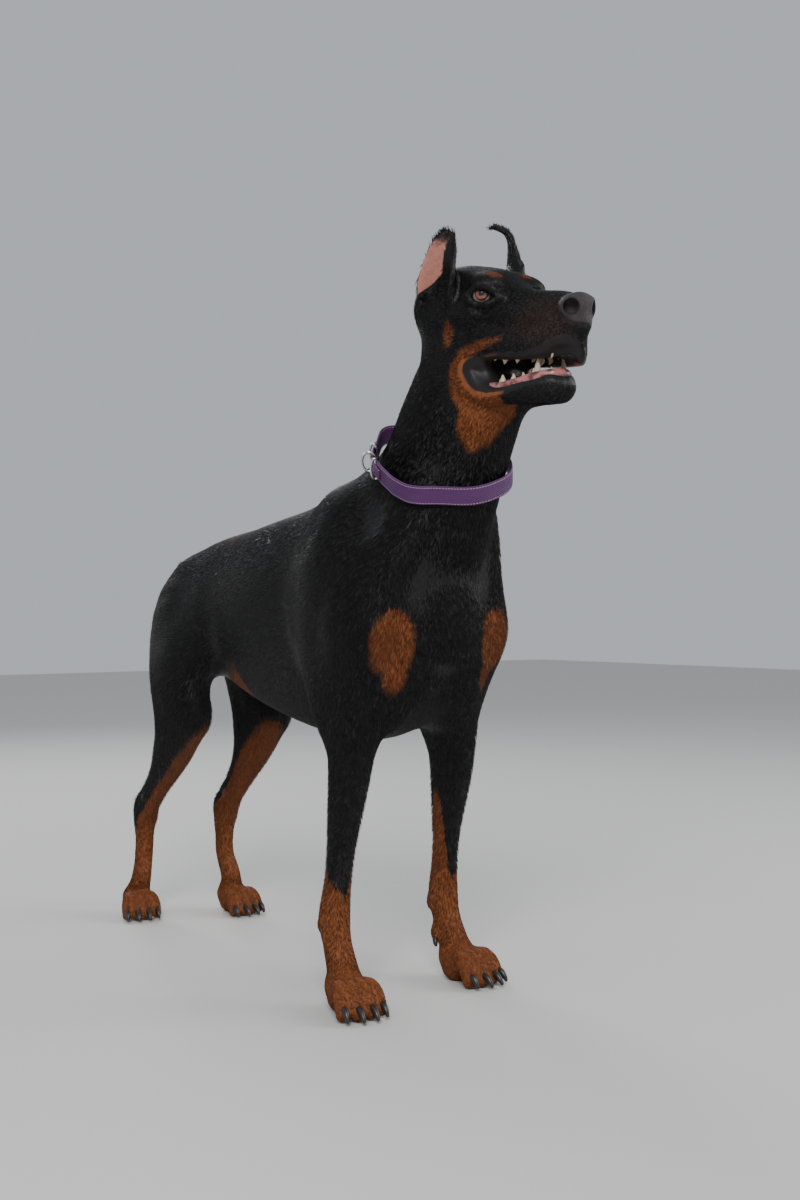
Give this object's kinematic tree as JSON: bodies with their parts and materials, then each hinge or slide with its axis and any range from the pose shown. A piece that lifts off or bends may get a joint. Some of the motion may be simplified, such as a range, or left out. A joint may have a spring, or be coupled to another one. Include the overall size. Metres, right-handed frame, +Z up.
{
  "type": "doberman pinscher model",
  "caption": "Life-size still model of a black and rust doberman pinscher standing with its head raised and mouth open, wearing a webbing collar.",
  "frame": {"origin": "middle of the model's box, on the floor under the paws", "axes": "+Z up, the dog faces -Y, its left side is +X"},
  "size_m": [0.3034, 1.0264, 1.034],
  "materials": {
    "coat": "short glossy fur, black with rust markings",
    "eye": "wet, clear cornea over a brown iris",
    "claw": "dark horn, dull",
    "tongue": "wet, pink",
    "webbing": "woven webbing with stitched edges",
    "ring_metal": "polished, lightly worn"
  },
  "bodies": {
    "root": {"claw_fore_left_1": "claw", "claw_fore_left_2": "claw", "claw_fore_left_3": "claw", "claw_fore_left_4": "claw", "claw_fore_right_1": "claw", "claw_fore_right_2": "claw", "claw_fore_right_3": "claw", "claw_fore_right_4": "claw", "claw_hind_left_1": "claw", "claw_hind_left_2": "claw", "claw_hind_left_3": "claw", "claw_hind_left_4": "claw", "claw_hind_right_1": "claw", "claw_hind_right_2": "claw", "claw_hind_right_3": "claw", "claw_hind_right_4": "claw", "collar_lead_ring": "ring_metal", "collar_loop": "webbing", "collar_ring_1": "ring_metal", "collar_ring_2": "ring_metal", "collar_strap": "webbing", "dewclaw_left": "claw", "dewclaw_right": "claw", "ear_left": "coat", "ear_right": "coat", "eye_left": "eye", "eye_right": "eye", "foreleg_left": "coat", "foreleg_right": "coat", "forepaw_left": "coat", "forepaw_right": "coat", "head": "coat", "hindpaw_left": "coat", "hindpaw_right": "coat", "lower_jaw": "coat", "neck": "coat", "shin_left": "coat", "shin_right": "coat", "tail": "coat", "thigh_left": "coat", "thigh_right": "coat", "tongue": "tongue", "torso": "coat"}
  },
  "joints": []
}
